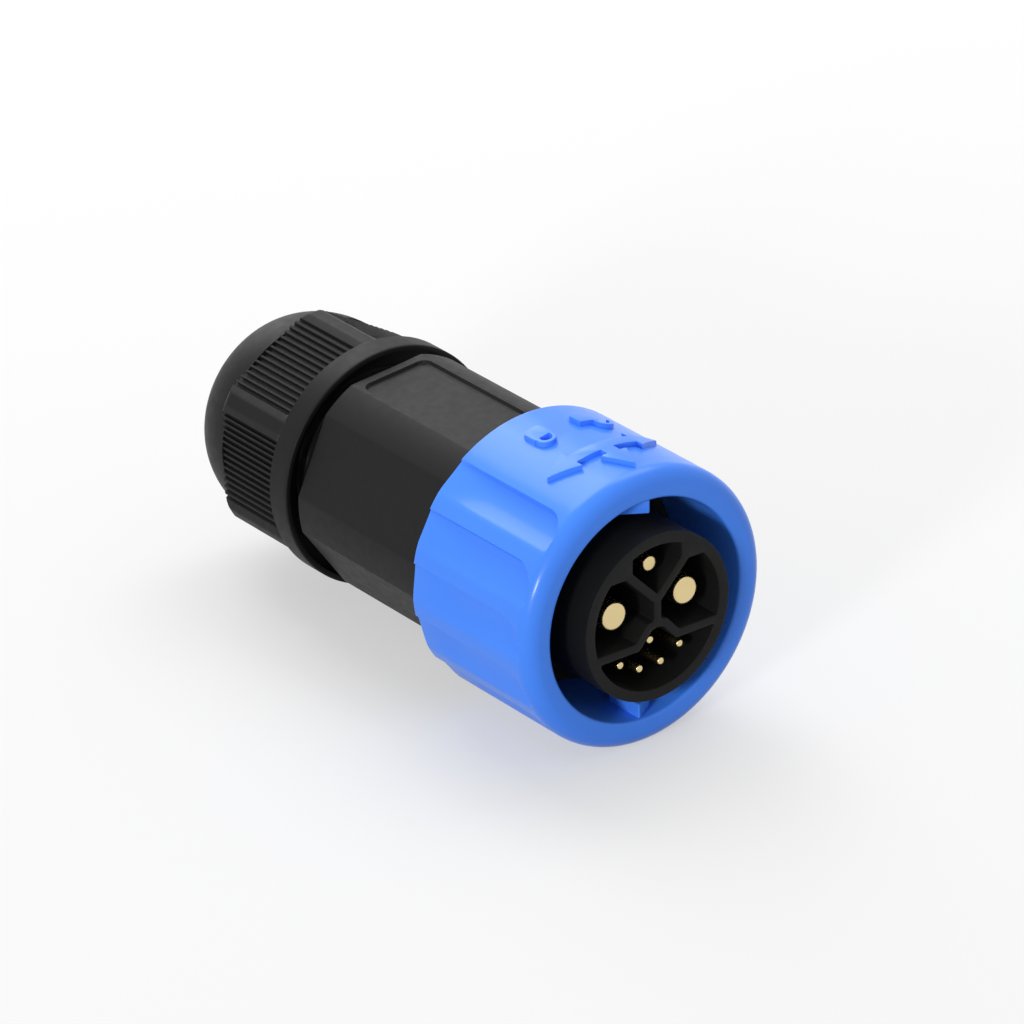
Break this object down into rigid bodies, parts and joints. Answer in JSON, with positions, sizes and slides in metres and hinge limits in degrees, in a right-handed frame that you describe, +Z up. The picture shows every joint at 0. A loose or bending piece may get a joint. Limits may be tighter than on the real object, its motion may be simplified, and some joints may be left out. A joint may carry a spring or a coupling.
{
  "type": "bayonet power connector",
  "caption": "Round cable connector with a fluted bayonet coupling ring, a celled pin insert, a flat-sided body and a hexagonal cable gland nut.",
  "frame": {"origin": "on the connector's axis, in the plane of the coupling ring's front face", "axes": "+Y from the mating face to the gland nut, +Z up through the earth pin, +X to the right seen from the mating side"},
  "size_m": [0.035, 0.0756, 0.0356],
  "materials": {
    "ring_plastic": "satin blue moulding",
    "shell_plastic": "fine matte",
    "gland_plastic": "fine matte",
    "insert_plastic": "satin",
    "washer_plastic": "smooth",
    "seal_rubber": "soft matte",
    "gold_contact": "thin gold plating",
    "spring_steel": "plain"
  },
  "bodies": {
    "shell": {"body_shell": "shell_plastic", "front_barrel": "shell_plastic", "contact_insert": "insert_plastic", "pin_carrier": "insert_plastic", "rear_insulator": "insert_plastic", "insert_lock_ring": "insert_plastic", "power_pin_left": "gold_contact", "power_pin_right": "gold_contact", "earth_pin": "gold_contact", "signal_pin_1": "gold_contact", "signal_pin_2": "gold_contact", "signal_pin_3": "gold_contact", "signal_pin_4": "gold_contact", "signal_pin_5": "gold_contact", "interface_seal": "seal_rubber", "shell_gasket": "seal_rubber", "ring_retainer": "spring_steel", "ring_wave_spring": "spring_steel", "gland_cage": "gland_plastic", "gland_seal": "seal_rubber"},
    "ring": {"coupling_ring": "ring_plastic"},
    "washer": {"thrust_washer": "washer_plastic"},
    "nut": {"gland_nut": "gland_plastic"}
  },
  "joints": [
    {"name": "ring_turn", "type": "hinge", "parent": "shell", "child": "ring", "pos_m": [0, 0, 0], "axis": [0, -1, 0], "range_deg": [0, 40]},
    {"name": "nut_travel", "type": "slide", "parent": "shell", "child": "washer", "axis": [0, 1, 0], "range_m": [-0.0013, 0.0075]},
    {"name": "nut_turn", "type": "hinge", "parent": "washer", "child": "nut", "pos_m": [0, 0.0495, 0], "axis": [0, 1, 0], "range_deg": [-313, 1801]}
  ],
  "couplings": [
    {"joint": "nut_turn", "follows": "nut_travel", "rad_per_m": 4188.8}
  ]
}
